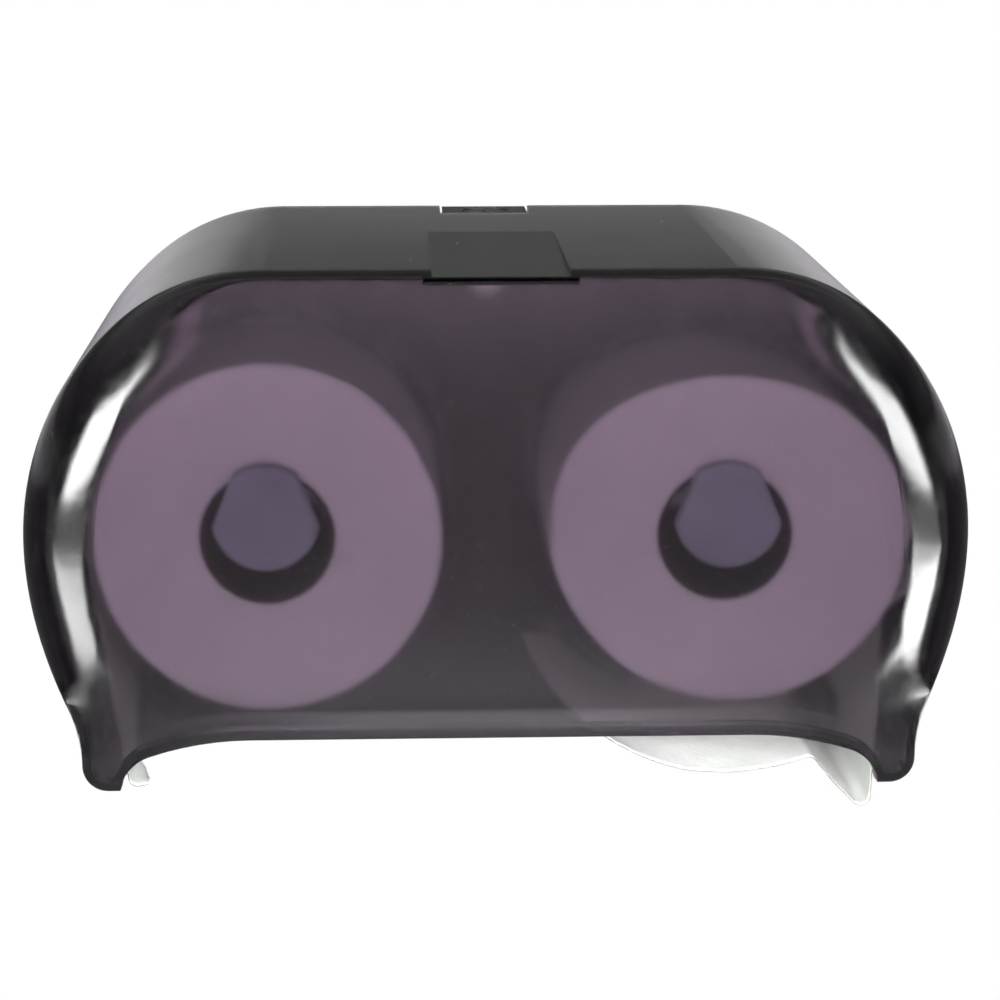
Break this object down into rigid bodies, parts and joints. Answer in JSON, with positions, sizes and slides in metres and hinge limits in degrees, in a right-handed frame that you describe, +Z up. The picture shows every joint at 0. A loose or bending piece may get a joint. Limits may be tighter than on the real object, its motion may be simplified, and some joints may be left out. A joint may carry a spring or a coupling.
{
  "type": "toilet paper dispenser",
  "caption": "Wall-hung toilet paper dispenser: a smoke-tinted cover hinged at its feet closes over side-by-side rolls on fixed spindles, locked by a key cam on the back base.",
  "frame": {"origin": "centre of the four wall-screw holes, on the wall plane", "axes": "+Z up, +Y into the wall, the front looks along -Y, +X to the right seen from the front"},
  "size_m": [0.325, 0.181, 0.2032],
  "materials": {
    "smoke_cover": "polished translucent smoke",
    "base_plastic": "fine moulded grain",
    "spindle_plastic": "satin moulded",
    "tissue": "soft embossed tissue",
    "core_board": "wound board",
    "steel": "zinc plated",
    "lock_metal": "satin nickel"
  },
  "bodies": {
    "base": {"back_base": "base_plastic", "hinge_pin_left": "steel", "hinge_pin_right": "steel", "spindle_left": "spindle_plastic", "spindle_right": "spindle_plastic", "spindle_cap_left": "spindle_plastic", "spindle_cap_right": "spindle_plastic", "spindle_screws": "steel", "tail_left": "tissue", "tail_right": "tissue", "lock_barrel": "lock_metal", "lock_nut": "steel"},
    "cover": {"front_cover": "smoke_cover"},
    "roll_left": {"core_left": "core_board", "paper_left": "tissue"},
    "roll_right": {"core_right": "core_board", "paper_right": "tissue"},
    "lock": {"lock_plug": "lock_metal", "lock_cam": "steel", "cam_screw": "steel"}
  },
  "joints": [
    {"name": "cover_hinge", "type": "hinge", "parent": "base", "child": "cover", "pos_m": [0, -0.057, -0.085], "axis": [1, 0, 0], "range_deg": [0, 95]},
    {"name": "roll_left_spin", "type": "hinge", "parent": "base", "child": "roll_left", "pos_m": [-0.079, -0.086, 0.0035], "axis": [0, 1, 0], "continuous": true},
    {"name": "roll_right_spin", "type": "hinge", "parent": "base", "child": "roll_right", "pos_m": [0.079, -0.086, 0.0035], "axis": [0, 1, 0], "continuous": true},
    {"name": "lock_turn", "type": "hinge", "parent": "base", "child": "lock", "pos_m": [0, -0.013, 0.08], "axis": [0, 0, 1], "range_deg": [0, 90]}
  ]
}
